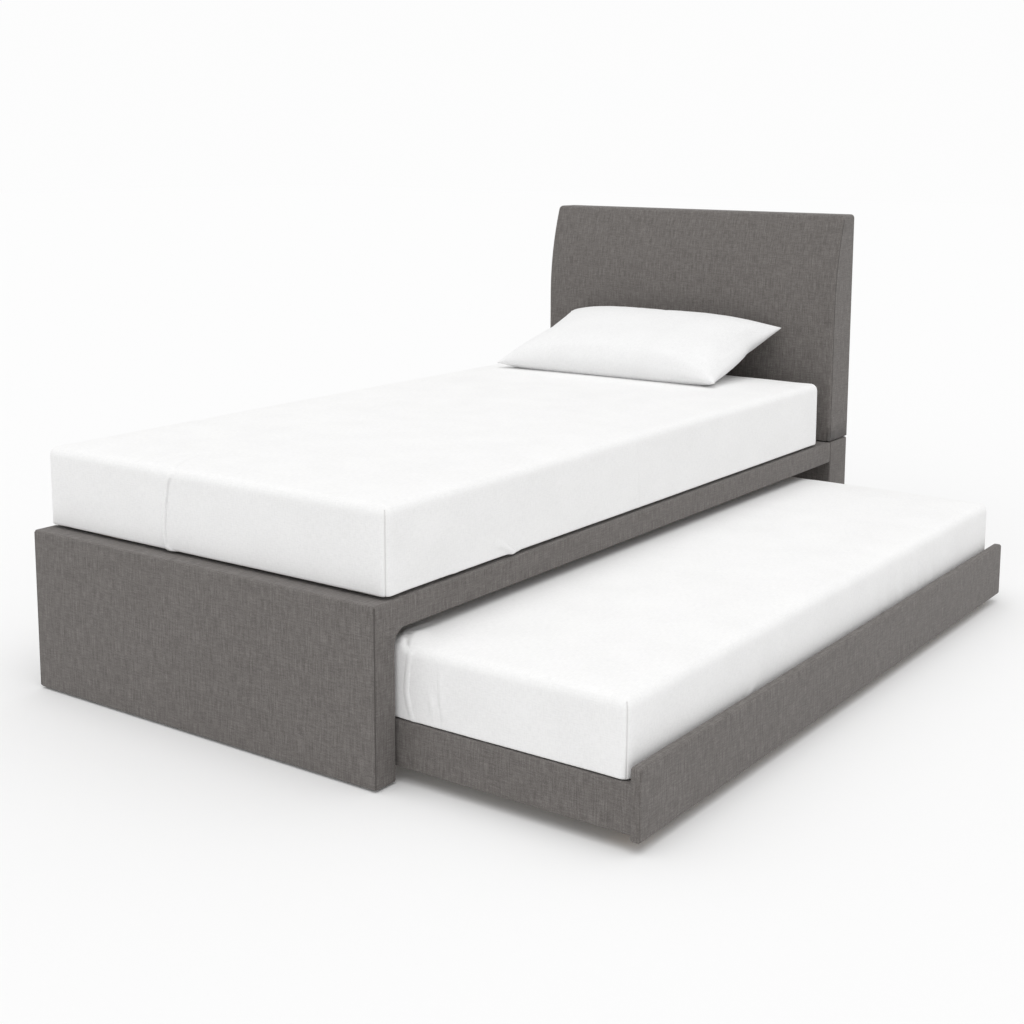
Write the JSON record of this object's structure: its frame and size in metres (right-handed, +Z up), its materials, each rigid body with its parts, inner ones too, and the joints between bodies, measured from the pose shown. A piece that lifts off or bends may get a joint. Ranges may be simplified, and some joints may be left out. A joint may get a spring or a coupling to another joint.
{
  "type": "trundle bed",
  "caption": "Upholstered single bed with a curved headboard and a lower trundle bed that rolls out sideways on hidden casters, each with its own mattress.",
  "frame": {"origin": "middle of the bottom of the whole object, trundle pulled out, on the floor", "axes": "+Y along the bed towards the headboard, +X towards the side where the trundle comes out, +Z up"},
  "size_m": [1.532, 2.124, 1.02],
  "materials": {
    "linen": "matte",
    "dust_cloth": "matte",
    "foam": "matte",
    "white_cover": "matte",
    "zinc_steel": "satin",
    "black_steel": "satin",
    "tyre_rubber": "matte",
    "nylon": "satin",
    "plywood": "matte",
    "slat_wood": "satin",
    "timber": "matte"
  },
  "bodies": {
    "bed_base": {"back_cover": "linen", "back_frame": "timber", "back_inner_board": "plywood", "back_ledger": "timber", "back_outer_board": "plywood", "bed_slats": "slat_wood", "corner_bracket_screws": "zinc_steel", "corner_brackets": "black_steel", "floor_glides": "nylon", "foot_frame": "timber", "foot_inner_board": "plywood", "foot_outer_board": "plywood", "foot_rail_cover": "linen", "head_cover": "linen", "head_frame": "timber", "head_inner_board": "plywood", "head_outer_board": "plywood", "headboard_back_board": "plywood", "headboard_cover": "linen", "headboard_dust_cloth": "dust_cloth", "headboard_foam": "foam", "headboard_front_ply": "plywood", "headboard_ribs": "plywood", "pillow": "white_cover", "rail_gusset": "timber", "rail_ledger": "timber", "side_rail": "timber", "tie_plate_screws": "zinc_steel", "tie_plates": "black_steel", "upper_mattress": "white_cover"},
    "trundle": {"caster_axles": "zinc_steel", "caster_brackets": "zinc_steel", "caster_screws": "zinc_steel", "fascia_board": "plywood", "fascia_cover": "linen", "fascia_screws": "zinc_steel", "trundle_corner_blocks": "timber", "trundle_cover": "linen", "trundle_foot_end": "timber", "trundle_front_ledger": "timber", "trundle_front_rail": "timber", "trundle_head_end": "timber", "trundle_mattress": "white_cover", "trundle_rear_ledger": "timber", "trundle_rear_rail": "timber", "trundle_slats": "slat_wood"},
    "wheel_front_foot": {"hub_front_foot": "nylon", "tyre_front_foot": "tyre_rubber"},
    "wheel_front_mid": {"hub_front_mid": "nylon", "tyre_front_mid": "tyre_rubber"},
    "wheel_front_head": {"hub_front_head": "nylon", "tyre_front_head": "tyre_rubber"},
    "wheel_rear_foot": {"hub_rear_foot": "nylon", "tyre_rear_foot": "tyre_rubber"},
    "wheel_rear_mid": {"hub_rear_mid": "nylon", "tyre_rear_mid": "tyre_rubber"},
    "wheel_rear_head": {"hub_rear_head": "nylon", "tyre_rear_head": "tyre_rubber"}
  },
  "joints": [
    {"name": "trundle_slide", "type": "slide", "parent": "bed_base", "child": "trundle", "axis": [1, 0, 0], "range_m": [-0.542, 0.4]},
    {"name": "wheel_front_foot_spin", "type": "hinge", "parent": "trundle", "child": "wheel_front_foot", "pos_m": [0.6915, -0.846, 0.025], "axis": [0, 1, 0], "continuous": true},
    {"name": "wheel_front_mid_spin", "type": "hinge", "parent": "trundle", "child": "wheel_front_mid", "pos_m": [0.6915, -0.067, 0.025], "axis": [0, 1, 0], "continuous": true},
    {"name": "wheel_front_head_spin", "type": "hinge", "parent": "trundle", "child": "wheel_front_head", "pos_m": [0.6915, 0.712, 0.025], "axis": [0, 1, 0], "continuous": true},
    {"name": "wheel_rear_foot_spin", "type": "hinge", "parent": "trundle", "child": "wheel_rear_foot", "pos_m": [-0.1085, -0.846, 0.025], "axis": [0, 1, 0], "continuous": true},
    {"name": "wheel_rear_mid_spin", "type": "hinge", "parent": "trundle", "child": "wheel_rear_mid", "pos_m": [-0.1085, -0.067, 0.025], "axis": [0, 1, 0], "continuous": true},
    {"name": "wheel_rear_head_spin", "type": "hinge", "parent": "trundle", "child": "wheel_rear_head", "pos_m": [-0.1085, 0.712, 0.025], "axis": [0, 1, 0], "continuous": true}
  ],
  "couplings": [
    {"joint": "wheel_front_foot_spin", "follows": "trundle_slide", "rad_per_m": 40},
    {"joint": "wheel_front_mid_spin", "follows": "trundle_slide", "rad_per_m": 40},
    {"joint": "wheel_front_head_spin", "follows": "trundle_slide", "rad_per_m": 40},
    {"joint": "wheel_rear_foot_spin", "follows": "trundle_slide", "rad_per_m": 40},
    {"joint": "wheel_rear_mid_spin", "follows": "trundle_slide", "rad_per_m": 40},
    {"joint": "wheel_rear_head_spin", "follows": "trundle_slide", "rad_per_m": 40}
  ]
}
